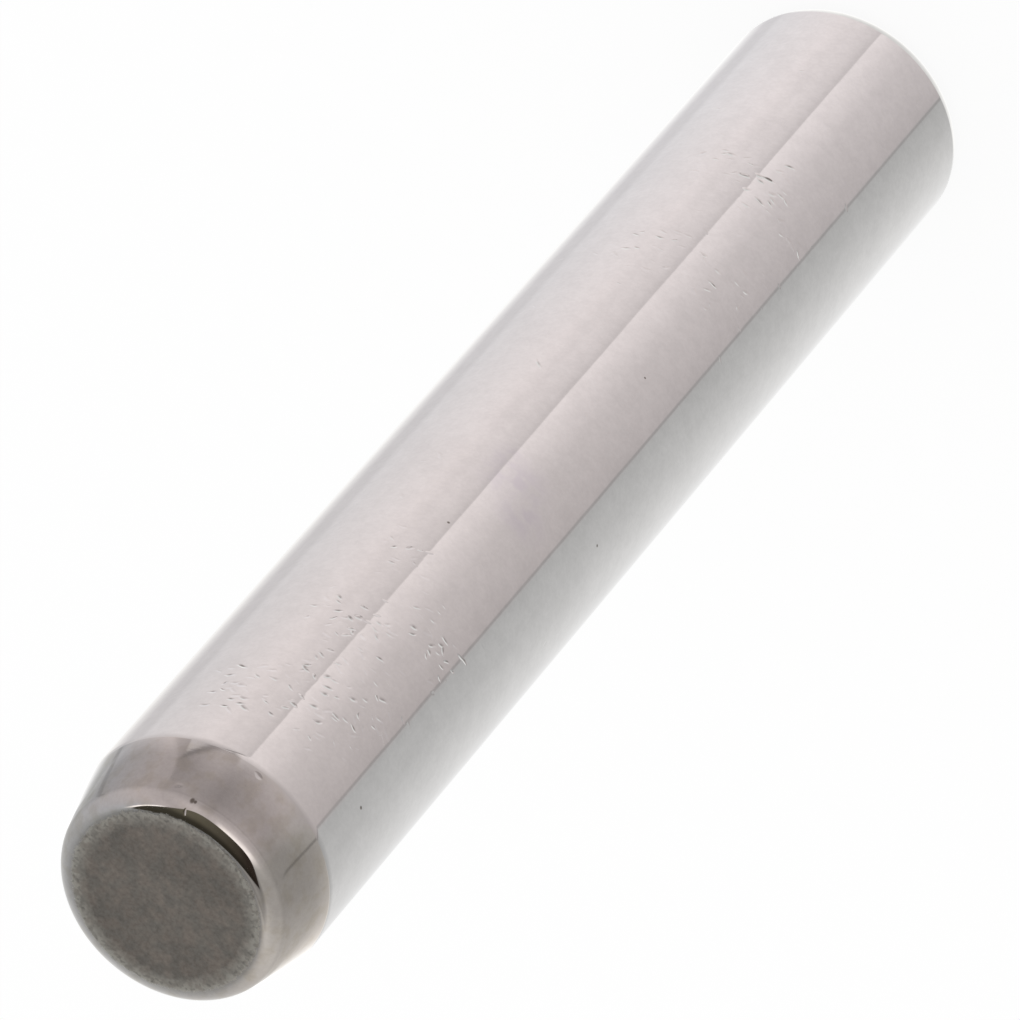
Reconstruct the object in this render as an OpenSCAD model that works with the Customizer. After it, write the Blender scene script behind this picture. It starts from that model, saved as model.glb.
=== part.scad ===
// Dowel pin: one hardened bar, ground to size, with a tapered lead end and a rounded foot.
// It stands on its foot, centred on the origin, with the lead end up.
// Both ends are turned on a blank a little over size. Grinding the blank down to the
// finished diameter leaves a fine crisp line where each end meets the shank.

/* [Shank] */
// Nominal diameter, a quarter inch
nominal_d = 6.35; // [4:0.05:16]
// How much the ground diameter exceeds the nominal one, for a tight fit
oversize = 0.005; // [0:0.0005:0.03]
// Overall length, an inch and a half
pin_len = 38.1; // [12:0.1:150]

/* [Lead end] */
// Length of the lead end along the pin, from its face to the shank
lead_len = 2; // [1:0.05:4]
// Slope of the lead taper to the pin's axis, in degrees
lead_angle = 13; // [4:0.5:20]
// Radius of the rounding between the lead taper and the end face
edge_r = 0.55; // [0.1:0.05:0.9]
// Angle of the faint edge where the taper runs into that rounding, in degrees
edge_break = 5; // [1:0.5:20]

/* [Foot] */
// Radius of the rounding between the shank and the foot's face
foot_r = 0.6; // [0.1:0.05:1.5]

/* [Grinding] */
// Stock that grinding takes off the blank's radius
grind_stock = 0.01; // [0.005:0.005:0.1]

/* [Hidden] */
$fn = 180;
ground_r = (nominal_d + oversize) / 2;
blank_r = ground_r + grind_stock;

// A radius well outside the pin, for the cutting outlines to run out to
clear_r = 2 * blank_r;

// The taper's radius where it would reach the height of the end face
shoulder_z = pin_len - lead_len;
tip_r = ground_r - lead_len * tan(lead_angle);
blank_shoulder_z = shoulder_z - grind_stock / tan(lead_angle);

// The edge rounding's centre. Its circle stands a little proud of the taper,
// so the two cross at edge_break rather than just touching.
edge_z = pin_len - edge_r;
taper_r_at_edge = tip_r + edge_r * tan(lead_angle);
edge_c = [taper_r_at_edge - edge_r * cos(edge_break) / cos(lead_angle), edge_z];

// The foot rounding's centre, tangent to the blank and to the foot's face
foot_c = [blank_r - foot_r, foot_r];

// Every outline here is a half section: radius along X, height along Y.

// The turned blank with its lead taper, before either end is rounded
module tapered_blank() {
    polygon([
        [0, 0],
        [blank_r, 0],
        [blank_r, blank_shoulder_z],
        [tip_r, pin_len],
        [0, pin_len]
    ]);
}

// All that the edge rounding leaves: its circle, what lies inside it, and
// what lies below a line from its centre square to the taper
module inside_lead_edge() {
    translate(edge_c) circle(r = edge_r);
    polygon([
        [0, 0],
        [clear_r, 0],
        [clear_r, edge_z + (clear_r - edge_c.x) * tan(lead_angle)],
        edge_c,
        [edge_c.x, pin_len],
        [0, pin_len]
    ]);
}

// All that the foot rounding leaves: its circle, what lies inside it and above it
module inside_foot_edge() {
    translate(foot_c) circle(r = foot_r);
    polygon([
        [0, 0],
        [foot_c.x, 0],
        foot_c,
        [clear_r, foot_c.y],
        [clear_r, pin_len],
        [0, pin_len]
    ]);
}

// The finished section, with the shank ground to size
module pin_section() {
    intersection() {
        tapered_blank();
        inside_lead_edge();
        inside_foot_edge();
        square([ground_r, pin_len]);
    }
}

module pin() {
    color([0.72, 0.71, 0.70])
        rotate_extrude()
            pin_section();
}

pin();
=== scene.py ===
"""Looks for a ground steel dowel pin, laid out as an add-on and run as a script.

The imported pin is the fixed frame. The ground skin of the pin is a fine surface of revolution that
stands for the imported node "pin"; the stage is a pale bench, a soft studio all round and one camera.
"""

import math

import bpy
import numpy as np
from mathutils import Matrix, Vector


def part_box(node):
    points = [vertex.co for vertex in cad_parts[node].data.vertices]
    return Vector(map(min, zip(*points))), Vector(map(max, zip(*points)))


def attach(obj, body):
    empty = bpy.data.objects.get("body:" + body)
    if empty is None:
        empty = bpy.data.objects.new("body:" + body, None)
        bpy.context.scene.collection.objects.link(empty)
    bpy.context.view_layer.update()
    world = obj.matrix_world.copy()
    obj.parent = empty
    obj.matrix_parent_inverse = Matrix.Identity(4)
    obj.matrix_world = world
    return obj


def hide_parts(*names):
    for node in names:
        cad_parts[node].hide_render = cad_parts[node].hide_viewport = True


bl_info = {
    "name": "Ground Dowel Pin",
    "version": (1, 0, 0),
    "blender": (4, 5, 0),
    "location": "3D View > Sidebar > Dowel Pin",
    "description": "Builds the ground skin of a hardened dowel pin and a soft studio to look at it in",
    "category": "Add Mesh",
}

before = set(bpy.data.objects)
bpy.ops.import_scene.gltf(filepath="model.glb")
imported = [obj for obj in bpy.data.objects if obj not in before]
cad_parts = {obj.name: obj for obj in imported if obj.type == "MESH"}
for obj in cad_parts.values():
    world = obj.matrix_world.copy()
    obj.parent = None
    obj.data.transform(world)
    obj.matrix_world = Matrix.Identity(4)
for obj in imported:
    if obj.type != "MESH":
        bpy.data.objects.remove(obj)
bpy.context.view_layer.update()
PIN_LOW, PIN_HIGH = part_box("pin")

MM = 0.001
MICRON = 0.000001
PIN_RADIUS = (PIN_HIGH.x - PIN_LOW.x) / 2
PIN_LENGTH = PIN_HIGH.z - PIN_LOW.z
SKIN_MAP = "PinSkin"
BAKE_MAP = "OFBake"

# Rows of points along each form of the half section.
FACE_ROWS = 8
EDGE_ROWS = 30
TAPER_ROWS = 22
SHANK_ROWS = 150
FOOT_ROWS = 22

# Patches of handling nicks on the shank: turn from the front in degrees, height and reach in mm, share.
NICK_PATCHES = (
    (8, 33, 2.4, 0.9),
    (36, 34, 1.6, 1.0),
    (-8, 32, 1.8, 0.8),
    (20, 30, 1.6, 0.9),
    (-12, 29, 1.6, 0.9),
    (18, 27, 1.2, 0.6),
    (26, 12.5, 2.0, 0.5),
    (-6, 12, 2.0, 0.5),
    (4, 8.5, 1.6, 0.9),
    (30, 8, 1.4, 0.5),
    (-20, 9, 1.4, 0.4),
)

# Single nicks: turn in degrees, height, half length and half width in mm, lean in degrees, relative depth.
DEEP_NICKS = (
    (43, 33.0, 0.20, 0.065, -12, 1.3),
    (45, 33.4, 0.17, 0.060, 10, 1.1),
    (-12, 33.0, 0.18, 0.060, -20, 1.1),
    (-2, 30.7, 0.16, 0.060, 12, 1.0),
    (-29, 28.4, 0.26, 0.055, 14, 1.0),
    (31, 18.5, 0.26, 0.055, -49, 0.8),
    (-5, 12.5, 0.16, 0.060, 0, 1.1),
    (7, 8.0, 0.22, 0.070, 10, 1.4),
    (3, 7.1, 0.18, 0.060, 14, 1.1),
    (31.2, 37.55, 0.16, 0.100, 20, 0.6),
    (4.7, 36.33, 0.15, 0.080, -20, 0.35),
    (22.4, 38.02, 0.05, 0.050, 0, 0.9),
)

# Pits, shown only as painted shade in the steel's colour: turn in degrees, height and radius in mm.
SHADED_PITS = (
    (21.4, 37.79, 0.085),
    (19.8, 37.79, 0.055),
    (-38, 34.2, 0.06),
    (14, 25.4, 0.05),
    (-44, 21.6, 0.05),
    (-9, 16.8, 0.04),
)

# Soft stains: turn in degrees, height in mm, reach in mm.
STAINS = (
    (4, 22.8, 1.3),
    (-8, 23.6, 1.0),
    (14, 22.2, 0.6),
)

# Colours of the marks on the steel: red, green, blue and alpha.
WHITE = (1.0, 1.0, 1.0, 1.0)
STAIN_COLOUR = (0.60, 0.575, 0.62, 1.0)
TARNISH_COLOUR = (0.60, 0.575, 0.52, 1.0)
FLECK_COLOUR = (0.46, 0.44, 0.44, 1.0)
# Painted shade in the pits.
PIT_SHADE_COLOUR = (0.14, 0.12, 0.10, 1.0)
# Painted shade in the nicks' hollows.
NICK_SHADE_COLOUR = (0.12, 0.10, 0.09, 1.0)
EDGE_SPECK_COLOUR = (0.68, 0.67, 0.62, 1.0)
FRECKLE_COLOUR = (0.13, 0.125, 0.12, 1.0)

# Scales of the steel's textures, per metre.
SPECK_SCALE = 9000.0
PATCH_SCALE = 2600.0
CLOUD_SCALE = 700.0
BLOTCH_SCALE = 6000.0
FRECKLE_SCALE = 11000.0
WOBBLE_SCALE = 4500.0
WAVE_SCALE = 520.0
LINE_SCALE = 420.0
GRAIN_SCALE = 16000.0

# Lines of the studio. Turns are degrees round from the front, which is -Y, towards the east, which is +X,
# and rises are degrees above level.
SEAM_TURN = 23.0
GAP_TURN = -57.0
PANEL_TURN = 63.0
EAST_JOINT_TURN = 126.5
WEST_JOINT_TURN = -56.4
LEDGE_RISE = -26.2

# Tints of the studio: red, green and blue at a brightness of 1.
NEUTRAL = (1.0, 1.0, 1.0)
COOL = (1.0, 0.98, 1.01)
ROSY = (1.0, 0.93, 0.94)
WARM = (1.0, 0.94, 0.88)
DUSKY = (1.0, 0.89, 0.87)

# Light of the studio by direction: turn in degrees, brightness and tint.
BENCH_BAND = (
    (-180, 1.15, NEUTRAL),
    (-125, 0.90, NEUTRAL),
    (-85, 0.65, NEUTRAL),
    (-60, 0.55, NEUTRAL),
    (-55, 0.60, ROSY),
    (-10, 0.75, ROSY),
    (20, 1.00, ROSY),
    (30, 1.10, ROSY),
    (60, 1.00, ROSY),
    (120, 0.95, COOL),
    (127, 0.85, COOL),
    (140, 0.85, COOL),
    (165, 1.25, NEUTRAL),
    (180, 1.15, NEUTRAL),
)
WALL_BAND = (
    (-180, 1.00, NEUTRAL),
    (-140, 0.70, WARM),
    (-100, 0.50, WARM),
    (-80, 0.40, WARM),
    (-60, 0.35, WARM),
    (-45, 0.35, WARM),
    (-20, 0.45, DUSKY),
    (-5, 0.45, DUSKY),
    (20, 0.35, DUSKY),
    (45, 0.45, DUSKY),
    (60, 0.45, DUSKY),
    (80, 0.55, DUSKY),
    (120, 0.48, COOL),
    (140, 0.55, NEUTRAL),
    (155, 0.75, NEUTRAL),
    (180, 1.00, NEUTRAL),
)


# ---------------------------------------------------------------------------------------------
# Sizes, finishes and stage, as a user would change them


class PinShape(bpy.types.PropertyGroup):
    """Sizes of the pin's skin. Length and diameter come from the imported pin."""

    lead_length: bpy.props.FloatProperty(
        name="Lead length",
        description="Height of the taper that guides the pin into its hole",
        default=2.0 * MM,
        min=0.5 * MM,
        max=6.0 * MM,
        precision=5,
        unit="LENGTH",
    )
    lead_angle: bpy.props.FloatProperty(
        name="Lead angle",
        description="Slope of the taper from the pin's axis",
        default=math.radians(13.0),
        min=math.radians(4.0),
        max=math.radians(20.0),
        subtype="ANGLE",
    )
    lead_crown: bpy.props.FloatProperty(
        name="Lead crown",
        description="How far the middle of the taper stands proud of a straight cone",
        default=10.0 * MICRON,
        min=0.0,
        max=40.0 * MICRON,
        precision=6,
        unit="LENGTH",
    )
    edge_radius: bpy.props.FloatProperty(
        name="Edge radius",
        description="Radius between the taper and the flat lead face",
        default=0.55 * MM,
        min=0.1 * MM,
        max=1.0 * MM,
        precision=5,
        unit="LENGTH",
    )
    edge_break: bpy.props.FloatProperty(
        name="Edge break",
        description="Angle at which the edge radius crosses the taper",
        default=math.radians(5.0),
        min=math.radians(1.0),
        max=math.radians(20.0),
        subtype="ANGLE",
    )
    edge_blend: bpy.props.FloatProperty(
        name="Edge blend",
        description="Distance over which polishing softens the line between the edge and the taper",
        default=0.4 * MM,
        min=0.05 * MM,
        max=1.0 * MM,
        precision=5,
        unit="LENGTH",
    )
    foot_radius: bpy.props.FloatProperty(
        name="Foot radius",
        description="Radius round the foot face",
        default=0.6 * MM,
        min=0.1 * MM,
        max=1.5 * MM,
        precision=5,
        unit="LENGTH",
    )
    grind_stock: bpy.props.FloatProperty(
        name="Grinding stock",
        description="What the wheel takes off the radius of the rounded blank",
        default=10.0 * MICRON,
        min=5.0 * MICRON,
        max=100.0 * MICRON,
        precision=6,
        unit="LENGTH",
    )
    crease: bpy.props.FloatProperty(
        name="Crease width",
        description="Width over which the ground shank turns into the taper",
        default=180.0 * MICRON,
        min=5.0 * MICRON,
        max=400.0 * MICRON,
        precision=6,
        unit="LENGTH",
    )
    around: bpy.props.IntProperty(
        name="Steps round",
        description="Faces round the pin",
        default=360,
        min=48,
        max=512,
    )


class PinFinish(bpy.types.PropertyGroup):
    """Colours and textures of the steel."""

    steel: bpy.props.FloatVectorProperty(
        name="Ground steel",
        description="Colour of the ground and polished skin",
        default=(0.72, 0.71, 0.70),
        size=3,
        min=0.0,
        max=1.0,
        subtype="COLOR",
    )
    end_steel: bpy.props.FloatVectorProperty(
        name="Dull steel",
        description="Colour of the dull end faces",
        default=(0.37, 0.352, 0.325),
        size=3,
        min=0.0,
        max=1.0,
        subtype="COLOR",
    )
    polish: bpy.props.FloatProperty(
        name="Polish",
        description="Roughness of the ground skin",
        default=0.05,
        min=0.01,
        max=0.5,
        subtype="FACTOR",
    )
    end_roughness: bpy.props.FloatProperty(
        name="End roughness",
        description="Roughness of the dull end faces",
        default=0.5,
        min=0.1,
        max=1.0,
        subtype="FACTOR",
    )
    wave_height: bpy.props.FloatProperty(
        name="Grinding wave",
        description="Height of the shallow waves that the wheel leaves",
        default=3.6 * MICRON,
        min=0.0,
        max=20.0 * MICRON,
        precision=7,
        unit="LENGTH",
    )
    nick_depth: bpy.props.FloatProperty(
        name="Nick depth",
        description="Depth of the handling nicks",
        default=9.0 * MICRON,
        min=0.0,
        max=30.0 * MICRON,
        precision=7,
        unit="LENGTH",
    )


class PinStage(bpy.types.PropertyGroup):
    """Camera, bench and studio."""

    view_elevation: bpy.props.FloatProperty(
        name="View elevation",
        description="How far the camera looks down on the pin",
        default=math.radians(49.78),
        subtype="ANGLE",
    )
    view_turn: bpy.props.FloatProperty(
        name="View turn",
        description="How far the camera stands round from the front",
        default=math.radians(0.04),
        subtype="ANGLE",
    )
    view_roll: bpy.props.FloatProperty(
        name="View roll",
        description="Turn of the camera about its own line of sight",
        default=math.radians(139.23),
        subtype="ANGLE",
    )
    view_distance: bpy.props.FloatProperty(
        name="View distance",
        description="From the camera to the point that it looks at",
        default=272.22 * MM,
        precision=5,
        unit="LENGTH",
    )
    aim_side: bpy.props.FloatProperty(
        name="Aim, sideways",
        description="How far beside the pin's axis the camera looks",
        default=-0.12 * MM,
        precision=6,
        unit="LENGTH",
    )
    aim_height: bpy.props.FloatProperty(
        name="Aim, height",
        description="Height of the point that the camera looks at",
        default=19.98 * MM,
        precision=5,
        unit="LENGTH",
    )
    lens: bpy.props.FloatProperty(
        name="Lens",
        description="Focal length in mm on a 36 mm sensor",
        default=406.96,
        min=20.0,
        max=1000.0,
    )
    bench: bpy.props.FloatVectorProperty(
        name="Bench",
        description="Colour of the pale bench",
        default=(0.97, 0.97, 0.97),
        size=3,
        min=0.0,
        max=1.0,
        subtype="COLOR",
    )
    bench_reach: bpy.props.FloatProperty(
        name="Bench reach",
        description="Radius of the round bench",
        default=1.6,
        min=0.2,
        max=10.0,
        unit="LENGTH",
    )


# ---------------------------------------------------------------------------------------------
# Small helpers for node trees


def put(tree, value, socket):
    """Links value to the socket if it is an output, and otherwise sets it as the socket's number."""
    if isinstance(value, bpy.types.NodeSocket):
        tree.links.new(value, socket)
    else:
        socket.default_value = value


def reckon(tree, operation, a, b=None, clamp=False):
    """One Math node; returns its output."""
    node = tree.nodes.new("ShaderNodeMath")
    node.operation = operation
    node.use_clamp = clamp
    put(tree, a, node.inputs[0])
    if b is not None:
        put(tree, b, node.inputs[1])
    return node.outputs[0]


def span(tree, value, low, high, out_low=0.0, out_high=1.0, smooth=True):
    """One Map Range node: low to high becomes out_low to out_high, clamped at both ends."""
    node = tree.nodes.new("ShaderNodeMapRange")
    node.interpolation_type = "SMOOTHSTEP" if smooth else "LINEAR"
    node.clamp = True
    put(tree, value, node.inputs["Value"])
    node.inputs["From Min"].default_value = low
    node.inputs["From Max"].default_value = high
    node.inputs["To Min"].default_value = out_low
    node.inputs["To Max"].default_value = out_high
    return node.outputs["Result"]


def vectors(tree, operation, a, b=None):
    """One Vector Math node; returns its vector output, or its value for a length."""
    node = tree.nodes.new("ShaderNodeVectorMath")
    node.operation = operation
    put(tree, a, node.inputs[0])
    if b is not None:
        put(tree, b, node.inputs[1])
    return node.outputs["Value" if operation in ("LENGTH", "DISTANCE", "DOT_PRODUCT") else "Vector"]


def blend(tree, share, a, b, kind="MIX"):
    """One colour Mix node; returns its colour."""
    node = tree.nodes.new("ShaderNodeMix")
    node.data_type = "RGBA"
    node.blend_type = kind
    put(tree, share, node.inputs[0])
    put(tree, a, node.inputs[6])
    put(tree, b, node.inputs[7])
    return node.outputs[2]


def product(tree, *factors):
    """Product of colours and numbers, as a chain of colour Mix nodes."""
    result = factors[0]
    for factor in factors[1:]:
        result = blend(tree, 1.0, result, factor, "MULTIPLY")
    return result


def noise(tree, where, scale, detail, roughness, output="Fac"):
    """One Noise Texture node; returns its value, or its colour, about 0.5 on average."""
    node = tree.nodes.new("ShaderNodeTexNoise")
    node.noise_dimensions = "3D"
    put(tree, where, node.inputs["Vector"])
    node.inputs["Scale"].default_value = scale
    node.inputs["Detail"].default_value = detail
    node.inputs["Roughness"].default_value = roughness
    return node.outputs[output]


def share_of(tree, name):
    """One Attribute node; returns the number that the mesh keeps under that name."""
    node = tree.nodes.new("ShaderNodeAttribute")
    node.attribute_name = name
    return node.outputs["Fac"]


def band(tree, degrees, stops):
    """One Color Ramp node over a full turn; stops are (degrees, brightness, tint)."""
    node = tree.nodes.new("ShaderNodeValToRGB")
    node.color_ramp.interpolation = "LINEAR"
    place = reckon(tree, "ADD", reckon(tree, "DIVIDE", degrees, 360.0), 0.5)
    put(tree, place, node.inputs[0])
    elements = node.color_ramp.elements
    while len(elements) < len(stops):
        elements.new(0.5)
    for element, (turn, brightness, tint) in zip(elements, stops):
        element.position = turn / 360.0 + 0.5
        element.color = (*[brightness * part for part in tint], 1.0)
    return node.outputs["Color"]


def fresh_tree(owner):
    """Empties the owner's node tree and returns it."""
    owner.use_nodes = True
    owner.node_tree.nodes.clear()
    return owner.node_tree


# ---------------------------------------------------------------------------------------------
# The pin's skin


def arc(centre_r, centre_z, radius, start, end, steps):
    """A circular arc of the half section.

    The point at tilt t is the centre plus radius times (cosine t, sine t), and its normal leans
    up from level by t. Returns rows of (distance from the axis, height, tilt).
    """
    tilt = np.linspace(start, end, steps)
    return np.stack([centre_r + radius * np.cos(tilt), centre_z + radius * np.sin(tilt), tilt], 1)


def level(from_r, to_r, height, tilt, steps):
    """A flat face of the half section: distance from the axis goes evenly from one to the other."""
    out = np.linspace(from_r, to_r, steps)
    return np.stack([out, np.full(steps, height), np.full(steps, tilt)], 1)


def half_section(shape):
    """The pin's half section from the middle of the lead face to the middle of the foot face.

    Rows are (distance from the axis, height, tilt of the normal). The lead face is flat, the edge is
    an arc that crosses the taper at the edge break, the taper is a straight cone plus a crown of
    four times height share times its rest, the shank is straight, and the foot is an arc that the
    grinding cuts short. Two close rows with their own tilts make each crease.
    """
    lean = math.tan(shape.lead_angle)
    shoulder = PIN_LENGTH - shape.lead_length
    edge_z = PIN_LENGTH - shape.edge_radius
    tip_r = PIN_RADIUS - shape.lead_length * lean
    edge_r = tip_r + shape.edge_radius * lean
    edge_r -= shape.edge_radius * math.cos(shape.edge_break) / math.cos(shape.lead_angle)
    top = level(0.0, edge_r, PIN_LENGTH, math.pi / 2, FACE_ROWS)
    last = shape.lead_angle + shape.edge_break
    edge = arc(edge_r, edge_z, shape.edge_radius, math.pi / 2, last, EDGE_ROWS)[1:]
    taper_end = edge[-1, 1] - shape.crease / 4
    rise = np.linspace(1.0, 0.0, TAPER_ROWS)
    height = shoulder + shape.crease / 2 + rise * (taper_end - shoulder - shape.crease / 2)
    part = (height - shoulder) / (taper_end - shoulder)
    out = PIN_RADIUS - (height - shoulder) * lean + 4 * shape.lead_crown * part * (1 - part)
    slope = lean - 4 * shape.lead_crown * (1 - 2 * part) / (taper_end - shoulder)
    taper = np.stack([out, height, np.arctan(slope)], 1)
    crossing = edge[-1, 1]
    edge[:, 2] -= shape.edge_break / 2 * fade((edge[:, 1] - crossing) / shape.edge_blend)
    taper[:, 2] += shape.edge_break / 2 * fade((crossing - taper[:, 1]) / shape.edge_blend)
    foot_z = shape.foot_radius
    foot_r = PIN_RADIUS + shape.grind_stock - shape.foot_radius
    first = -math.acos((PIN_RADIUS - foot_r) / shape.foot_radius)
    foot = arc(foot_r, foot_z, shape.foot_radius, first, -math.pi / 2, FOOT_ROWS)
    low = foot[0, 1] + shape.crease / 2
    height = np.linspace(shoulder - shape.crease / 2, low, SHANK_ROWS)
    shank = np.stack([np.full(SHANK_ROWS, PIN_RADIUS), height, np.zeros(SHANK_ROWS)], 1)
    bottom = level(foot_r, 0.0, 0.0, -math.pi / 2, FACE_ROWS)[1:]
    return np.concatenate([top, edge, taper, shank, foot, bottom])


def revolve(rows, around):
    """Turns the half section about the pin's axis.

    The point at row i and turn a is (r sine a, -r cosine a, z), so a turn of nothing faces the
    front. The first and last rows are single points, which close the poles, and the last column of
    faces joins the first, which closes the seam. Returns points, normals, the four-sided faces and the
    three-sided faces round the top and bottom poles.
    """
    turn = np.linspace(-math.pi, math.pi, around, endpoint=False)
    ring = rows[1:-1]
    ahead = np.stack([np.sin(turn), -np.cos(turn)], 1)
    flat = ring[:, None, 0:1] * ahead[None]
    points = np.concatenate([flat, np.broadcast_to(ring[:, None, 1:2], (*flat.shape[:2], 1))], 2)
    leaning = np.cos(ring[:, None, 2:3]) * ahead[None]
    rising = np.broadcast_to(np.sin(ring[:, None, 2:3]), (*flat.shape[:2], 1))
    normals = np.concatenate([leaning, rising], 2)
    points = np.concatenate([[[0, 0, rows[0, 1]]], points.reshape(-1, 3), [[0, 0, rows[-1, 1]]]])
    normals = np.concatenate([[[0, 0, 1.0]], normals.reshape(-1, 3), [[0, 0, -1.0]]])
    count = len(ring)
    i, j = np.meshgrid(np.arange(count - 1), np.arange(around), indexing="ij")
    nearby = (j + 1) % around
    quads = 1 + np.stack(
        [i * around + j, (i + 1) * around + j, (i + 1) * around + nearby, i * around + nearby], -1
    )
    j = np.arange(around)
    nearby = (j + 1) % around
    pole = np.zeros_like(j)
    top = np.stack([pole, 1 + j, 1 + nearby], 1)
    last = 1 + (count - 1) * around
    bottom = np.stack([pole + len(points) - 1, last + nearby, last + j], 1)
    return points, normals, quads.reshape(-1, 4), top, bottom


def fade(distance):
    """1 at nothing, falling to 0 at a distance of 1 as a smooth bell: (1 - d squared) squared."""
    return np.clip(1 - distance**2, 0, 1) ** 2


def patches(turn, height, places):
    """Share of the skin that soft round patches cover, as the strongest patch at each point."""
    result = np.zeros(len(turn))
    for place in places:
        strength = place[3] if len(place) > 3 else 1.0
        round_mm = (turn - math.radians(place[0])) * PIN_RADIUS / MM
        along_mm = height / MM - place[1]
        result = np.maximum(result, strength * fade(np.hypot(round_mm, along_mm) / place[2]))
    return result


def keep_numbers(mesh, name, values):
    """Stores one number for each point of the mesh."""
    attribute = mesh.attributes.new(name, "FLOAT", "POINT")
    attribute.data.foreach_set("value", values.astype(np.float32))


def corner_turns(top, quads, corners, around):
    """Turn at each face corner, as a share of a full turn from 0 to 1.

    A face at the seam ends at 1 and not at 0, and a corner at a pole has the turn of its face's middle.
    """
    turns = ((corners - 1) % around) / around
    pole = (np.arange(around) + 0.5) / around
    first_quad = top.size
    last_quad = top.size + quads.size
    start = turns[:first_quad].reshape(-1, 3)[:, 1]
    turns[:first_quad] = np.stack([pole, start, start + 1 / around], 1).ravel()
    start = turns[last_quad:].reshape(-1, 3)[:, 2]
    turns[last_quad:] = np.stack([pole, start + 1 / around, start], 1).ravel()
    wide = turns[first_quad:last_quad].reshape(-1, 4)
    wide[:, 2:] = wide[:, :1] + 1 / around
    return turns


def skin_mesh(shape):
    """The closed mesh of the whole pin with its exact normals, maps and wear numbers."""
    rows = half_section(shape)
    points, normals, quads, top, bottom = revolve(rows, shape.around)
    mesh = bpy.data.meshes.new("ground_pin")
    faces = [*top.tolist(), *quads.tolist(), *bottom.tolist()]
    mesh.from_pydata(points.tolist(), [], faces)
    mesh.update()
    corners = np.concatenate([top.ravel(), quads.ravel(), bottom.ravel()])
    round_turn = np.arctan2(points[:, 0], -points[:, 1])
    out = np.hypot(points[:, 0], points[:, 1])
    turns = corner_turns(top, quads, corners, shape.around)
    girth = 2 * math.pi * PIN_RADIUS / MM
    skin = mesh.uv_layers.new(name=SKIN_MAP)
    skin_uv = np.stack([(turns - 0.5) * girth, points[corners, 2] / MM], 1)
    skin.data.foreach_set("uv", skin_uv.astype(np.float32).ravel())
    bake = mesh.uv_layers.new(name=BAKE_MAP)
    bake.data.foreach_set("uv", bake_places(mesh, rows, points, corners, turns, out))
    mesh.uv_layers.active = skin
    skin.active_render = True
    lead_edge = rows[FACE_ROWS - 1, 0]
    foot_edge = rows[-FACE_ROWS, 0]
    beyond = np.where(points[:, 2] > PIN_LENGTH / 2, out - lead_edge, out - foot_edge) / MM
    is_end = (points[:, 2] > PIN_LENGTH - shape.edge_radius) | (points[:, 2] < shape.foot_radius)
    keep_numbers(mesh, "beyond_face", np.where(is_end, beyond, 1.0))
    keep_numbers(mesh, "nicked", patches(round_turn, points[:, 2], NICK_PATCHES))
    keep_numbers(mesh, "stained", patches(round_turn, points[:, 2], STAINS))
    mesh.polygons.foreach_set("use_smooth", np.ones(len(mesh.polygons), bool))
    mesh.normals_split_custom_set_from_vertices(normals.tolist())
    mesh.update()
    return mesh


def bake_places(mesh, rows, points, corners, turns, out):
    """A flat layout of the skin: the side as one sheet, and each end face as a disc beside it.

    The side's sheet is turn across and path length up; a disc is the face seen along the axis.
    """
    steps = np.hypot(np.diff(rows[:, 0]), np.diff(rows[:, 1]))
    path = np.concatenate([[0], np.cumsum(steps)])
    top_start, foot_end = path[FACE_ROWS - 1], path[-FACE_ROWS]
    around = (len(points) - 2) // (len(rows) - 2)
    row_of = np.zeros(len(points), int)
    row_of[1:-1] = 1 + np.arange(len(points) - 2) // around
    row_of[-1] = len(rows) - 1
    along = path[row_of][corners]
    sizes = np.array([len(face.vertices) for face in mesh.polygons])
    starts = np.concatenate([[0], np.cumsum(sizes)[:-1]])
    middle = np.repeat(np.add.reduceat(along, starts) / sizes, sizes)
    down = (along - top_start) / (foot_end - top_start)
    sheet = np.stack([0.01 + 0.72 * turns, 0.99 - 0.98 * down], 1)
    face_edge = max(out[row_of == FACE_ROWS - 1].max(), out[row_of == len(rows) - FACE_ROWS].max())
    reach = 0.115 / face_edge
    flat = points[corners, :2] * reach
    lead_disc = flat + (0.865, 0.865)
    foot_disc = flat * (-1, 1) + (0.865, 0.6)
    places = np.where((middle < top_start)[:, None], lead_disc, sheet)
    places = np.where((middle > foot_end)[:, None], foot_disc, places)
    return places.astype(np.float32).ravel()


# ---------------------------------------------------------------------------------------------
# The steel


def dent(tree, far):
    """Depth of a dent by distance from its middle: 1 in the middle, then smoothly down to nothing at 1."""
    return span(tree, far, 0.0, 1.0, 1.0, 0.0)


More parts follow.
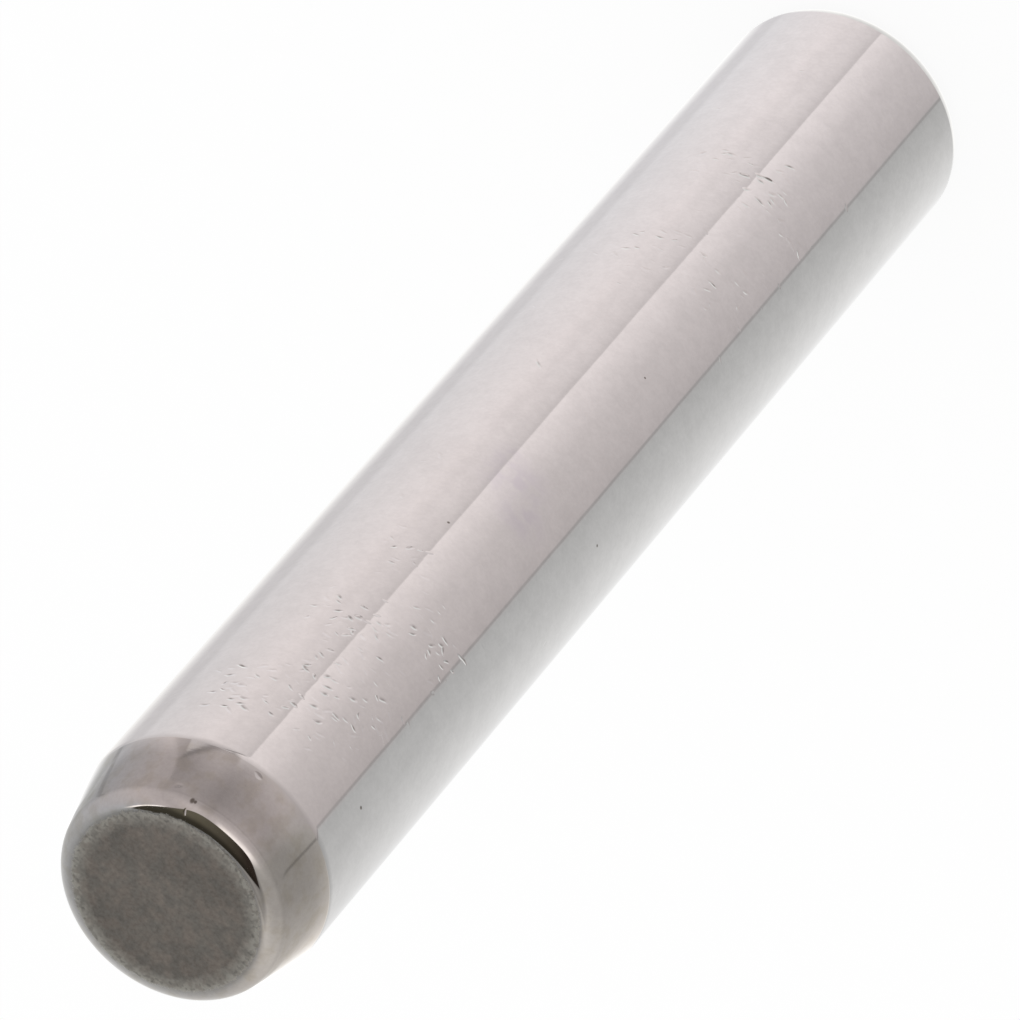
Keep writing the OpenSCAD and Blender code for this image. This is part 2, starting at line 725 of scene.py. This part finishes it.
def dash_field(tree, skin, cell, half_length, half_width, lean, spread, share):
    """Scattered short dents: each Voronoi cell of the skin holds one at its own centre.

    A dent is an ellipse turned and sized by its cell's own numbers; share is how many of the cells
    hold one, from 0 to 1, and their depths run from nothing to 1.
    """
    scaled = vectors(tree, "SCALE", skin)
    scaled.node.inputs["Scale"].default_value = 1 / cell
    cells = tree.nodes.new("ShaderNodeTexVoronoi")
    cells.voronoi_dimensions = "2D"
    cells.inputs["Scale"].default_value = 1.0
    put(tree, scaled, cells.inputs["Vector"])
    away = vectors(tree, "SUBTRACT", scaled, cells.outputs["Position"])
    parts = tree.nodes.new("ShaderNodeSeparateColor")
    put(tree, cells.outputs["Color"], parts.inputs[0])
    turned = tree.nodes.new("ShaderNodeVectorRotate")
    turned.rotation_type = "Z_AXIS"
    put(tree, away, turned.inputs["Vector"])
    angle = span(tree, parts.outputs[0], 0.0, 1.0, lean - spread, lean + spread, smooth=False)
    put(tree, angle, turned.inputs["Angle"])
    stretched = vectors(tree, "MULTIPLY", turned.outputs[0], (cell / half_length, cell / half_width, 0.0))
    size = span(tree, parts.outputs[1], 0.0, 1.0, 1.6, 0.8, smooth=False)
    far = reckon(tree, "MULTIPLY", vectors(tree, "LENGTH", stretched), size)
    chosen = reckon(tree, "MULTIPLY", reckon(tree, "SUBTRACT", share, parts.outputs[2]), 2.0, clamp=True)
    return reckon(tree, "MULTIPLY", dent(tree, far), chosen)


def single_nick(tree, skin, turn, height, half_length, half_width, lean, depth):
    """One elliptical dent on the skin at its own turn and height, so many times as deep as the rest."""
    centre = (math.radians(turn) * PIN_RADIUS / MM, height, 0.0)
    away = vectors(tree, "SUBTRACT", skin, centre)
    turned = tree.nodes.new("ShaderNodeVectorRotate")
    turned.rotation_type = "Z_AXIS"
    put(tree, away, turned.inputs["Vector"])
    turned.inputs["Angle"].default_value = math.radians(-lean)
    stretched = vectors(tree, "MULTIPLY", turned.outputs[0], (1 / half_length, 1 / half_width, 0.0))
    return reckon(tree, "MULTIPLY", dent(tree, vectors(tree, "LENGTH", stretched)), depth)


def dull_shares(tree, beyond, speck, patch):
    """How dull each point is, and how near it is to the ragged rim of a dull face, from 0 to 1.

    Beyond is the distance in mm outside the flat face, made ragged by the specks and patches.
    """
    ragged = reckon(tree, "ADD", beyond, span(tree, speck, 0.25, 0.75, -0.05, 0.05, smooth=False))
    ragged = reckon(tree, "ADD", ragged, span(tree, patch, 0.25, 0.75, -0.04, 0.04, smooth=False))
    dull = span(tree, ragged, 0.03, 0.12, 1.0, 0.0)
    rim = span(tree, ragged, -0.34, 0.04, smooth=False)
    return dull, rim


def nick_shares(tree, skin, wobble, nicked, height_up, flat_face, shoulder):
    """Depth of the nicks at each point, as a share of the full nick depth.

    Patches of close nicks lie where the mesh says so, a few more lie anywhere on the shank, and the
    deep ones have their own places. The skin's map is bent a little, so that their outlines vary.
    """
    worn = vectors(tree, "ADD", skin, vectors(tree, "MULTIPLY", wobble, (0.10, 0.10, 0.0)))
    stray = span(tree, height_up, shoulder - 0.8, shoulder - 0.5, 0.16, 0.0)
    close_nicks = dash_field(tree, worn, 0.27, 0.18, 0.072, 0.0, math.radians(48), nicked)
    stray_nicks = dash_field(tree, worn, 1.1, 0.15, 0.055, 0.2, math.radians(50), stray)
    nicks = reckon(tree, "ADD", close_nicks, stray_nicks)
    for nick in DEEP_NICKS:
        nicks = reckon(tree, "ADD", nicks, single_nick(tree, worn, *nick))
    return reckon(tree, "MULTIPLY", nicks, reckon(tree, "SUBTRACT", 1.0, flat_face))


def ground_colour(tree, finish, skin, speck, patch, cloud, nicks, on_lead):
    """Colour of the ground skin: soft clouds, stains, tarnish and flecks on the taper, and painted shade in
    the pits and nicks.
    """
    darker = (*[part * 0.975 for part in finish.steel], 1.0)
    steel = blend(tree, span(tree, cloud, 0.3, 0.7), (*finish.steel, 1.0), darker)
    speck_light = span(tree, speck, 0.3, 0.7, 0.975, 1.025)
    patch_light = span(tree, patch, 0.3, 0.7, 0.98, 1.02)
    steel = product(tree, steel, reckon(tree, "MULTIPLY", speck_light, patch_light))
    patchy = span(tree, patch, 0.35, 0.65, 0.25, 1.0)
    stained = reckon(tree, "MULTIPLY", share_of(tree, "stained"), patchy)
    steel = blend(tree, reckon(tree, "MULTIPLY", stained, 0.7), steel, STAIN_COLOUR)
    tarnished = reckon(tree, "MULTIPLY", on_lead, span(tree, patch, 0.42, 0.68))
    steel = blend(tree, reckon(tree, "MULTIPLY", tarnished, 0.6), steel, TARNISH_COLOUR)
    flecked = reckon(tree, "MULTIPLY", on_lead, span(tree, speck, 0.35, 0.65))
    steel = blend(tree, reckon(tree, "MULTIPLY", flecked, 0.24), steel, FLECK_COLOUR)
    # Painted shade: each pit darkens the steel towards its middle.
    for turn, height, radius in SHADED_PITS:
        centre = (math.radians(turn) * PIN_RADIUS / MM, height, 0.0)
        from_pit = vectors(tree, "DISTANCE", skin, centre)
        steel = blend(tree, span(tree, from_pit, radius * 0.4, radius, 0.85, 0.0), steel, PIT_SHADE_COLOUR)
    # Painted shade: the nicks darken the steel where they are deepest.
    return blend(tree, span(tree, nicks, 0.34, 1.35, 0.0, 0.75), steel, NICK_SHADE_COLOUR)


def end_colour(tree, finish, where, speck, patch, cloud, rim):
    """Colour of the dull end faces: mottled grey, warm in places, paler and freckled at the rim."""
    mottle = span(tree, speck, 0.28, 0.72, 0.83, 1.17, smooth=False)
    cloud_light = span(tree, cloud, 0.35, 0.65, 0.93, 1.07)
    patch_light = span(tree, patch, 0.3, 0.7, 0.90, 1.10)
    light = reckon(tree, "MULTIPLY", mottle, reckon(tree, "MULTIPLY", cloud_light, patch_light))
    warm = blend(tree, span(tree, patch, 0.35, 0.65), WHITE, (1.03, 0.985, 0.97, 1.0))
    grey = product(tree, (*finish.end_steel, 1.0), light, warm)
    blotch = span(tree, noise(tree, where, BLOTCH_SCALE, 1.0, 0.7), 0.36, 0.62, 0.55, 1.15)
    pale = blend(tree, reckon(tree, "MULTIPLY", rim, blotch), grey, EDGE_SPECK_COLOUR)
    dark_dots = span(tree, noise(tree, where, FRECKLE_SCALE, 0.0, 0.5), 0.60, 0.70)
    freckled = reckon(tree, "MULTIPLY", span(tree, rim, 0.35, 0.7), dark_dots)
    return blend(tree, reckon(tree, "MULTIPLY", freckled, 0.3), pale, FRECKLE_COLOUR)


def steel_height(tree, finish, where, wobble, nicked, nicks, flat_face):
    """Height of the steel in microns: shallow waves, fine grinding lines, nicks, scuffs and end grain."""
    wave = reckon(tree, "MULTIPLY", noise(tree, where, WAVE_SCALE, 1.0, 0.45), finish.wave_height / MICRON)
    stretch = vectors(tree, "MULTIPLY", where, (1.0, 1.0, 26.0))
    lines = reckon(tree, "MULTIPLY", noise(tree, stretch, LINE_SCALE, 1.0, 0.6), 0.10)
    depth = reckon(tree, "MULTIPLY", nicks, -finish.nick_depth / MICRON)
    uneven = tree.nodes.new("ShaderNodeSeparateXYZ")
    put(tree, wobble, uneven.inputs[0])
    scuffs = reckon(tree, "MULTIPLY", reckon(tree, "MULTIPLY", uneven.outputs["X"], nicked), 1.6)
    grain = reckon(tree, "MULTIPLY", noise(tree, where, GRAIN_SCALE, 2.0, 0.6), 5.0)
    total = reckon(tree, "ADD", wave, lines)
    total = reckon(tree, "ADD", total, reckon(tree, "ADD", depth, scuffs))
    return reckon(tree, "ADD", total, reckon(tree, "MULTIPLY", grain, flat_face))


def steel_material(finish, shoulder):
    """Ground and dull steel in one material.

    The dull share is 1 on the flat end faces and runs out in specks over the edge radius. One Bump
    node turns the heights into a normal. Shoulder is the height in mm where the taper begins.
    """
    material = bpy.data.materials.new("ground_and_dull_steel")
    tree = fresh_tree(material)
    where = tree.nodes.new("ShaderNodeTexCoord").outputs["Object"]
    skin_node = tree.nodes.new("ShaderNodeUVMap")
    skin_node.uv_map = SKIN_MAP
    skin = skin_node.outputs["UV"]
    skin_parts = tree.nodes.new("ShaderNodeSeparateXYZ")
    put(tree, skin, skin_parts.inputs[0])
    height_up = skin_parts.outputs["Y"]
    on_lead = span(tree, height_up, shoulder - 0.1, shoulder + 0.3)
    speck = noise(tree, where, SPECK_SCALE, 3.0, 0.65)
    patch = noise(tree, where, PATCH_SCALE, 2.0, 0.5)
    cloud = noise(tree, where, CLOUD_SCALE, 3.0, 0.55)
    wobble = noise(tree, where, WOBBLE_SCALE, 0.0, 0.5, "Color")
    wobble = vectors(tree, "SUBTRACT", wobble, (0.5, 0.5, 0.5))
    beyond = share_of(tree, "beyond_face")
    flat_face = span(tree, beyond, 0.02, 0.10, 1.0, 0.0)
    nicked = share_of(tree, "nicked")

    dull, rim = dull_shares(tree, beyond, speck, patch)
    nicks = nick_shares(tree, skin, wobble, nicked, height_up, flat_face, shoulder)
    ground = ground_colour(tree, finish, skin, speck, patch, cloud, nicks, on_lead)
    colour = blend(tree, dull, ground, end_colour(tree, finish, where, speck, patch, cloud, rim))
    rough_mix = tree.nodes.new("ShaderNodeMix")
    rough_mix.data_type = "FLOAT"
    put(tree, dull, rough_mix.inputs[0])
    put(tree, span(tree, cloud, 0.3, 0.7, finish.polish * 0.85, finish.polish * 1.3), rough_mix.inputs[2])
    coarse = span(tree, patch, 0.3, 0.7, finish.end_roughness * 0.9, finish.end_roughness * 1.1)
    put(tree, coarse, rough_mix.inputs[3])
    bump = tree.nodes.new("ShaderNodeBump")
    bump.inputs["Strength"].default_value = 1.0
    bump.inputs["Distance"].default_value = MICRON
    height = steel_height(tree, finish, where, wobble, nicked, nicks, flat_face)
    put(tree, height, bump.inputs["Height"])

    shader = tree.nodes.new("ShaderNodeBsdfPrincipled")
    shader.inputs["Metallic"].default_value = 1.0
    put(tree, colour, shader.inputs["Base Color"])
    put(tree, rough_mix.outputs[0], shader.inputs["Roughness"])
    put(tree, bump.outputs["Normal"], shader.inputs["Normal"])
    output = tree.nodes.new("ShaderNodeOutputMaterial")
    put(tree, shader.outputs[0], output.inputs["Surface"])
    return material


# ---------------------------------------------------------------------------------------------
# The stage


def bench_material(stage):
    """Pale bench: a matte surface that also gives the camera most of its white, so shadows stay soft."""
    material = bpy.data.materials.new("pale_bench")
    tree = fresh_tree(material)
    where = tree.nodes.new("ShaderNodeTexCoord").outputs["Object"]
    fine = noise(tree, where, 900.0, 1.0, 0.6)
    darker = (*[part * 0.985 for part in stage.bench], 1.0)
    colour = blend(tree, span(tree, fine, 0.3, 0.7), (*stage.bench, 1.0), darker)
    matte = tree.nodes.new("ShaderNodeBsdfDiffuse")
    put(tree, colour, matte.inputs["Color"])
    glow = tree.nodes.new("ShaderNodeEmission")
    glow.inputs["Color"].default_value = WHITE
    glow.inputs["Strength"].default_value = 1.0
    path = tree.nodes.new("ShaderNodeLightPath")
    seen = reckon(tree, "MAXIMUM", path.outputs["Is Camera Ray"], path.outputs["Is Glossy Ray"])
    seen = reckon(tree, "MAXIMUM", seen, path.outputs["Is Transmission Ray"])
    mixed = tree.nodes.new("ShaderNodeMixShader")
    put(tree, reckon(tree, "MULTIPLY", seen, 0.9), mixed.inputs[0])
    put(tree, matte.outputs[0], mixed.inputs[1])
    put(tree, glow.outputs[0], mixed.inputs[2])
    output = tree.nodes.new("ShaderNodeOutputMaterial")
    put(tree, mixed.outputs[0], output.inputs["Surface"])
    return material


def disc_mesh(reach, height, sides=96):
    """A flat round bench: one face with its corners at even turns."""
    turn = np.linspace(0, 2 * math.pi, sides, endpoint=False)
    rim = np.stack([reach * np.cos(turn), reach * np.sin(turn), np.full(sides, height)], 1)
    mesh = bpy.data.meshes.new("bench")
    mesh.from_pydata(rim.tolist(), [], [list(range(sides))])
    mesh.update()
    return mesh


def thin_line(tree, distance, half_width, depth):
    """A soft dark line where distance is near nothing: 1 away from it, 1 minus depth on it."""
    return span(tree, reckon(tree, "ABSOLUTE", distance), half_width * 0.35, half_width, 1 - depth, 1.0)


def bench_reflection(tree, turn, rise, shoulder):
    """What the shank mirrors: a bright bench, split by one seam and one narrow gap that lean a little."""
    upper = reckon(tree, "MAXIMUM", reckon(tree, "ADD", rise, 46.0), 0.0)
    lean = reckon(tree, "MULTIPLY", reckon(tree, "ADD", rise, 50.0), 0.35)
    lean = reckon(tree, "ADD", lean, reckon(tree, "MULTIPLY", upper, 0.55))
    leaning = reckon(tree, "SUBTRACT", turn, lean)
    after = span(tree, leaning, SEAM_TURN + 1.0, SEAM_TURN + 21.0, 0.71, 0.89, smooth=False)
    later = span(tree, leaning, SEAM_TURN + 23.0, SEAM_TURN + 41.0, 0.0, 0.12)
    past_seam = span(tree, leaning, SEAM_TURN + 0.2, SEAM_TURN + 1.4)
    seam = blend(tree, past_seam, WHITE, reckon(tree, "ADD", after, later))
    shade = thin_line(tree, reckon(tree, "SUBTRACT", leaning, SEAM_TURN), 4.0, 0.5)
    shaded = reckon(tree, "MULTIPLY", span(tree, upper, 0.0, 6.0), span(tree, upper, 15.0, 19.0, 1.0, 0.0))
    seam = product(tree, seam, blend(tree, shaded, WHITE, shade))
    low_rise = reckon(tree, "MINIMUM", rise, -48.0)
    low_lean = reckon(tree, "MULTIPLY", reckon(tree, "ADD", low_rise, 50.0), 0.35)
    from_gap = reckon(tree, "SUBTRACT", reckon(tree, "SUBTRACT", turn, low_lean), GAP_TURN)
    gap = thin_line(tree, from_gap, 1.9, 0.24)
    near = blend(tree, span(tree, rise, -53.5, -47.5), (1.03, 1.03, 1.03, 1.0), (0.98, 0.965, 0.95, 1.0))
    near = blend(tree, span(tree, turn, -60.0, -54.0), (1.02, 1.02, 1.02, 1.0), near)
    far_off = span(tree, shoulder, -22.0, -4.0, 1.0, 0.80, smooth=False)
    return product(tree, band(tree, turn, BENCH_BAND), seam, gap, near, far_off)


def wall_light(tree, turn, rise, shoulder):
    """How bright the wall is: most at its foot and again high up in front, least high up at the back."""
    off_centre = reckon(tree, "ABSOLUTE", turn)
    front_foot = span(tree, shoulder, -2.8, 0.5, 1.40, 1.0, smooth=False)
    side_foot = span(tree, shoulder, -2.8, 0.8, 1.80, 0.93, smooth=False)
    foot = blend(tree, span(tree, off_centre, 62.0, 84.0), front_foot, side_foot)
    lift = span(tree, shoulder, 3.0, 12.0, 1.0, 1.22)
    higher = span(tree, rise, -6.0, 30.0, 1.0, 1.40)
    ahead = reckon(tree, "MULTIPLY", lift, higher)
    aside = span(tree, shoulder, 3.0, 30.0, 1.0, 1.25)
    behind = span(tree, rise, -35.0, 55.0, 1.0, 0.33, smooth=False)
    height = blend(tree, span(tree, off_centre, 28.0, 60.0), ahead, aside)
    height = blend(tree, span(tree, off_centre, 115.0, 165.0), height, behind)
    return product(tree, foot, height)


def wall_panel(tree, turn, rise):
    """Shade of the panel low on the wall. Its edge bows out by the square of the fall below its top."""
    below = reckon(tree, "MINIMUM", reckon(tree, "ADD", rise, 22.7), 0.0)
    bow = reckon(tree, "MULTIPLY", reckon(tree, "MULTIPLY", below, below), 0.34)
    past = reckon(tree, "SUBTRACT", reckon(tree, "SUBTRACT", turn, bow), PANEL_TURN)
    panel_side = span(tree, past, 0.0, 14.0, 1.06, 0.98)
    shaded_side = span(tree, past, -32.0, -6.0, 1.0, 0.86)
    panel = blend(tree, span(tree, past, -0.9, 0.9), shaded_side, panel_side)
    return blend(tree, span(tree, rise, -24.0, -19.0), panel, WHITE)


def wall_joints(tree, turn, rise):
    """Two fine dark joints low on the wall, one east and one west, that lean with the rise."""
    over = reckon(tree, "MINIMUM", reckon(tree, "MAXIMUM", reckon(tree, "ADD", rise, 35.0), 0.0), 16.0)
    leaning = reckon(tree, "ADD", turn, reckon(tree, "MULTIPLY", over, 0.9))
    east = thin_line(tree, reckon(tree, "SUBTRACT", leaning, EAST_JOINT_TURN), 3.6, 0.20)
    east = blend(tree, span(tree, rise, -24.0, -14.0), east, WHITE)
    over = reckon(tree, "ADD", rise, 25.0)
    leaning = reckon(tree, "ADD", turn, reckon(tree, "MULTIPLY", over, 0.9))
    west = thin_line(tree, reckon(tree, "SUBTRACT", leaning, WEST_JOINT_TURN), 1.7, 0.36)
    west = blend(tree, span(tree, rise, -24.5, -19.0), west, WHITE)
    return product(tree, east, west)


def wall_reflection(tree, turn, rise, shoulder):
    """What the lead taper and its edge mirror: a dim wall with a panel and two fine joints."""
    return product(
        tree,
        band(tree, turn, WALL_BAND),
        wall_light(tree, turn, rise, shoulder),
        wall_panel(tree, turn, rise),
        wall_joints(tree, turn, rise),
    )


def wall_ledge(tree, turn, rise, shoulder):
    """Where the wall stands on a straight ledge, and the dark line along the ledge.

    The first number returned is how far a direction lies above the foot of the wall, which is the
    shoulder's own line except on the ledge. The second is the shade of the line.
    """
    onto_ledge = span(tree, turn, 24.0, 34.0)
    on_ledge = reckon(tree, "MULTIPLY", onto_ledge, span(tree, turn, 62.0, 67.0, 1.0, 0.0))
    from_ledge = reckon(tree, "SUBTRACT", rise, LEDGE_RISE)
    ledge_foot = reckon(tree, "SUBTRACT", reckon(tree, "MULTIPLY", from_ledge, 4.0), 2.0)
    offset = reckon(tree, "MULTIPLY", on_ledge, reckon(tree, "SUBTRACT", ledge_foot, shoulder))
    squeeze = span(tree, turn, 34.0, 46.0, 0.05, 1.0, smooth=False)
    below = reckon(tree, "MULTIPLY", reckon(tree, "MINIMUM", from_ledge, 0.0), squeeze)
    from_line = reckon(tree, "ADD", reckon(tree, "MAXIMUM", from_ledge, 0.0), below)
    line = blend(tree, on_ledge, WHITE, thin_line(tree, from_line, 0.5, 0.46))
    return reckon(tree, "ADD", shoulder, offset), line


def dim_corner(tree, parts, rise):
    """Share of black in the dim corner high up in the west, which ends short of the back."""
    high = span(tree, rise, 47.0, 60.0)
    ahead = span(tree, parts.outputs["Y"], 0.30, 0.42, 1.0, 0.0)
    west = span(tree, parts.outputs["X"], -0.25, -0.05, 1.0, 0.0)
    corner = reckon(tree, "MULTIPLY", reckon(tree, "MULTIPLY", high, ahead), west)
    return reckon(tree, "MULTIPLY", corner, 0.48)


def dark_opening(tree, parts, rise, turn):
    """Where the dark opening overhead is, and where its bright front and east edges are.

    The opening is a rounded rectangle as seen from below, cut off slantwise at the back.
    """
    sideways = reckon(tree, "DIVIDE", reckon(tree, "ADD", parts.outputs["X"], 0.01), 0.49)
    lengthways = reckon(tree, "DIVIDE", reckon(tree, "ADD", parts.outputs["Y"], 0.12), 0.575)
    sideways = reckon(tree, "POWER", reckon(tree, "ABSOLUTE", sideways), 4.0)
    lengthways = reckon(tree, "POWER", reckon(tree, "ABSOLUTE", lengthways), 4.0)
    rounded = reckon(tree, "ADD", sideways, lengthways)
    slant = reckon(tree, "SUBTRACT", parts.outputs["Y"], reckon(tree, "MULTIPLY", parts.outputs["X"], 0.75))
    before_cut = span(tree, slant, 0.29, 0.34, 1.0, 0.0)
    overhead = reckon(tree, "MULTIPLY", span(tree, rise, 15.0, 25.0), before_cut)
    inside = reckon(tree, "MULTIPLY", overhead, span(tree, rounded, 0.93, 1.07, 1.0, 0.0))
    front = reckon(tree, "MULTIPLY", span(tree, turn, -46.0, -28.0), span(tree, turn, 2.0, 14.0, 1.0, 0.0))
    east = reckon(tree, "MULTIPLY", span(tree, turn, 75.0, 95.0), span(tree, turn, 122.0, 136.0, 1.0, 0.0))
    front = reckon(tree, "MULTIPLY", front, span(tree, rounded, 1.0, 4.0, 0.54, 0.0))
    east = reckon(tree, "MULTIPLY", east, span(tree, rounded, 1.0, 1.6, 1.0, 0.0))
    glow = reckon(tree, "ADD", front, east)
    return inside, reckon(tree, "MULTIPLY", glow, overhead)


def studio_colour(tree, parts, turn, rise):
    """Colour that polished and dull steel mirror from each direction.

    The bench lies below, the wall stands round it, straight down is the white under the pin, and a
    dark opening with a bright edge is overhead. The shoulder's line is where the taper's mirrored
    directions begin, in degrees of rise that fall from front to back.
    """
    off_centre = reckon(tree, "ABSOLUTE", turn)
    shoulder_rise = span(tree, off_centre, 35.0, 180.0, -21.8, -44.5, smooth=False)
    shoulder = reckon(tree, "SUBTRACT", rise, shoulder_rise)
    from_foot, ledge = wall_ledge(tree, turn, rise, shoulder)
    bench = bench_reflection(tree, turn, rise, shoulder)
    wall = wall_reflection(tree, turn, rise, shoulder)
    studio = product(tree, blend(tree, span(tree, from_foot, -4.5, -1.5), bench, wall), ledge)
    under_light = span(tree, parts.outputs["Y"], -0.3, 0.2, 0.90, 1.20, smooth=False)
    under = product(tree, (1.0, 1.0, 0.99, 1.0), under_light)
    studio = blend(tree, span(tree, rise, -61.0, -55.5, 1.0, 0.0), studio, under)
    studio = blend(tree, dim_corner(tree, parts, rise), studio, (0.0, 0.0, 0.0, 1.0))
    opening, edge = dark_opening(tree, parts, rise, turn)
    studio = blend(tree, edge, studio, (1.90, 1.76, 1.68, 1.0))
    eastward = span(tree, parts.outputs["X"], -0.35, 0.35, smooth=False)
    dark = blend(tree, eastward, (0.025, 0.018, 0.014, 1.0), (0.10, 0.09, 0.065, 1.0))
    dark = product(tree, dark, span(tree, parts.outputs["Y"], -0.3, 0.15, 1.5, 0.6))
    return blend(tree, opening, studio, dark)


def paint_studio(world):
    """A soft studio painted by direction for what is mirrored; all else, the camera too, sees white."""
    tree = fresh_tree(world)
    ahead = tree.nodes.new("ShaderNodeTexCoord").outputs["Generated"]
    parts = tree.nodes.new("ShaderNodeSeparateXYZ")
    put(tree, ahead, parts.inputs[0])
    to_front = reckon(tree, "MULTIPLY", parts.outputs["Y"], -1.0)
    turn = reckon(tree, "DEGREES", reckon(tree, "ARCTAN2", parts.outputs["X"], to_front))
    rise = reckon(tree, "DEGREES", reckon(tree, "ARCSINE", parts.outputs["Z"]))
    plain = tree.nodes.new("ShaderNodeBackground")
    plain.inputs["Color"].default_value = WHITE
    mirrored = tree.nodes.new("ShaderNodeBackground")
    put(tree, studio_colour(tree, parts, turn, rise), mirrored.inputs["Color"])
    path = tree.nodes.new("ShaderNodeLightPath")
    light = tree.nodes.new("ShaderNodeMixShader")
    put(tree, path.outputs["Is Glossy Ray"], light.inputs[0])
    put(tree, plain.outputs[0], light.inputs[1])
    put(tree, mirrored.outputs[0], light.inputs[2])
    output = tree.nodes.new("ShaderNodeOutputWorld")
    put(tree, light.outputs[0], output.inputs["Surface"])
    world.cycles.sampling_method = "NONE"


# ---------------------------------------------------------------------------------------------
# Operators


class PIN_OT_skin(bpy.types.Operator):
    """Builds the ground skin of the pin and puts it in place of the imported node."""

    bl_idname = "pin.skin"
    bl_label = "Ground skin"

    def execute(self, context):
        scene = context.scene
        mesh = skin_mesh(scene.pin_shape)
        shoulder = (PIN_LENGTH - scene.pin_shape.lead_length) / MM
        mesh.materials.append(steel_material(scene.pin_finish, shoulder))
        pin = bpy.data.objects.new("ground_pin", mesh)
        scene.collection.objects.link(pin)
        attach(pin, "root")
        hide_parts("pin")
        return {"FINISHED"}


class PIN_OT_stage(bpy.types.Operator):
    """Lays the bench, paints the studio and sets up the camera."""

    bl_idname = "pin.stage"
    bl_label = "Bench, studio and camera"

    def execute(self, context):
        scene = context.scene
        stage = scene.pin_stage
        bench = bpy.data.objects.new("bench", disc_mesh(stage.bench_reach, -5 * MICRON))
        bench.data.materials.append(bench_material(stage))
        bench.visible_glossy = False
        scene.collection.objects.link(bench)
        world = bpy.data.worlds.new("soft_studio")
        scene.world = world
        paint_studio(world)
        scene.view_settings.view_transform = "Standard"
        scene.camera = place_camera(scene, stage)
        return {"FINISHED"}


def place_camera(scene, stage):
    """The camera stands at its distance from the aim point, by its turn and elevation, then rolls."""
    data = bpy.data.cameras.new("view")
    data.lens = stage.lens
    data.sensor_width = 36.0
    data.clip_start = 0.01
    data.clip_end = 10.0
    camera = bpy.data.objects.new("view", data)
    scene.collection.objects.link(camera)
    flat = math.cos(stage.view_elevation)
    away = Vector(
        (
            math.sin(stage.view_turn) * flat,
            -math.cos(stage.view_turn) * flat,
            math.sin(stage.view_elevation),
        )
    )
    aim = Vector((stage.aim_side, 0.0, stage.aim_height))
    level_view = (-away).to_track_quat("-Z", "Y").to_matrix().to_4x4()
    roll = Matrix.Rotation(-stage.view_roll, 4, "Z")
    camera.matrix_world = Matrix.Translation(aim + away * stage.view_distance) @ level_view @ roll
    return camera


class PIN_PT_panel(bpy.types.Panel):
    """Lists the pin's steps and sizes in the sidebar."""

    bl_idname = "PIN_PT_panel"
    bl_label = "Dowel Pin"
    bl_space_type = "VIEW_3D"
    bl_region_type = "UI"
    bl_category = "Dowel Pin"

    def draw(self, context):
        scene = context.scene
        for operator in OPERATORS:
            self.layout.operator(operator.bl_idname)
        for group in (scene.pin_shape, scene.pin_finish, scene.pin_stage):
            box = self.layout.box()
            for name in group.__annotations__:
                box.prop(group, name)


OPERATORS = (PIN_OT_stage, PIN_OT_skin)
CLASSES = (PinShape, PinFinish, PinStage, *OPERATORS, PIN_PT_panel)


def register():
    """Registers the classes and gives each scene its sizes."""
    for made in CLASSES:
        bpy.utils.register_class(made)
    bpy.types.Scene.pin_shape = bpy.props.PointerProperty(type=PinShape)
    bpy.types.Scene.pin_finish = bpy.props.PointerProperty(type=PinFinish)
    bpy.types.Scene.pin_stage = bpy.props.PointerProperty(type=PinStage)


def unregister():
    """Takes the sizes and classes away again."""
    del bpy.types.Scene.pin_stage
    del bpy.types.Scene.pin_finish
    del bpy.types.Scene.pin_shape
    for made in reversed(CLASSES):
        bpy.utils.unregister_class(made)


def main():
    """Builds everything."""
    register()
    bpy.ops.pin.stage()
    bpy.ops.pin.skin()


if __name__ == "__main__":
    main()
